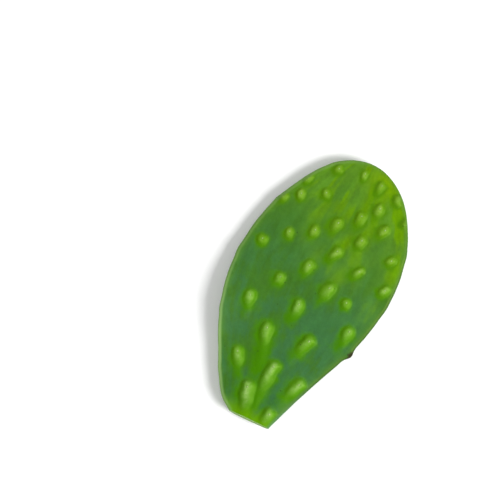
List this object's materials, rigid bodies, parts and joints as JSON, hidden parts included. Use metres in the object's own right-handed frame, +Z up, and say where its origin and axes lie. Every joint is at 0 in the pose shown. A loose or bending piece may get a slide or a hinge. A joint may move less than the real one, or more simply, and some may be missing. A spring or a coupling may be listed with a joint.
{
  "type": "prickly pear cactus pad",
  "caption": "Flat oval cactus pad (nopal) with a cut base, a round rim and rows of raised spineless areole bumps on both faces; lies on a surface.",
  "frame": {"origin": "on the surface that the pad lies on, under the centre of its bounding box", "axes": "+Z up, out of the pad's front face; +Y up the pad, from the cut base to the tip; +X to the right, seen from above"},
  "size_m": [0.1142, 0.2016, 0.0146],
  "materials": {
    "pad_skin": "satin"
  },
  "bodies": {
    "root": {"pad": "pad_skin"}
  },
  "joints": []
}
